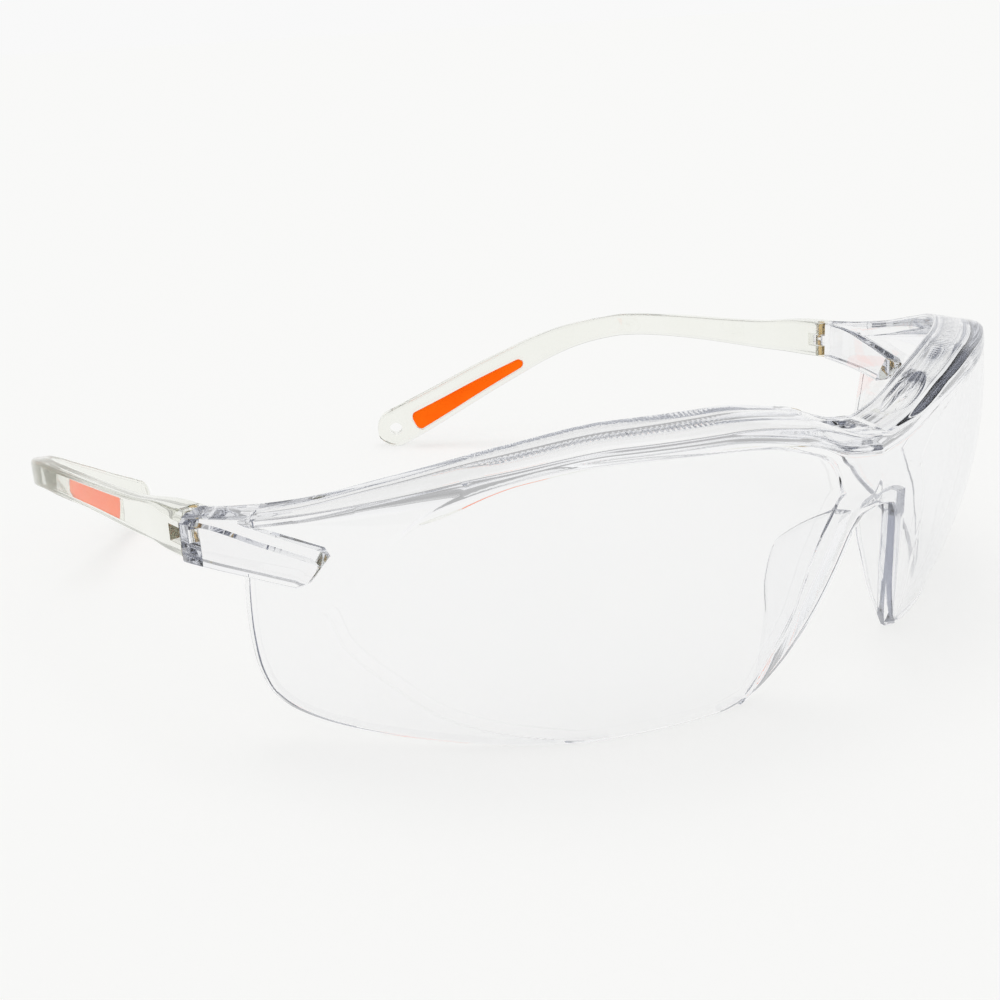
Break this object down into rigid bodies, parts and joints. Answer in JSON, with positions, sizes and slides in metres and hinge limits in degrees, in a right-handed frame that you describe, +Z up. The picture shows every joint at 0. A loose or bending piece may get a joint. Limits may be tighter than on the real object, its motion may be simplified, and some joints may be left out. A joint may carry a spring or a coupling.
{
  "type": "safety glasses",
  "caption": "Clear wrap-around safety glasses: a one-piece lens front with brow shelf and nose pads, and folding temples with rubber tip pads.",
  "frame": {"origin": "centre of the bounding box at the surface the open glasses stand on", "axes": "+X to the wearer's left, +Y from the front back along the temples, +Z up"},
  "size_m": [0.1426, 0.1509, 0.0429],
  "materials": {
    "front_clear": "clear polished",
    "temple_clear": "clear polished, slightly warm tint",
    "pad_orange": "satin",
    "pin_brass": "plain turned"
  },
  "bodies": {
    "front": {"front_shield": "front_clear"},
    "temple_left_arm": {"temple_left": "temple_clear", "tip_pad_left": "pad_orange", "hinge_pin_upper_left": "pin_brass", "hinge_pin_lower_left": "pin_brass"},
    "temple_right_arm": {"temple_right": "temple_clear", "tip_pad_right": "pad_orange", "hinge_pin_upper_right": "pin_brass", "hinge_pin_lower_right": "pin_brass"}
  },
  "joints": [
    {"name": "fold_left", "type": "hinge", "parent": "front", "child": "temple_left_arm", "pos_m": [0.0679, -0.0149, 0.028], "axis": [0, 0, 1], "range_deg": [0, 92]},
    {"name": "fold_right", "type": "hinge", "parent": "front", "child": "temple_right_arm", "pos_m": [-0.0679, -0.0149, 0.028], "axis": [0, 0, -1], "range_deg": [0, 81]}
  ]
}
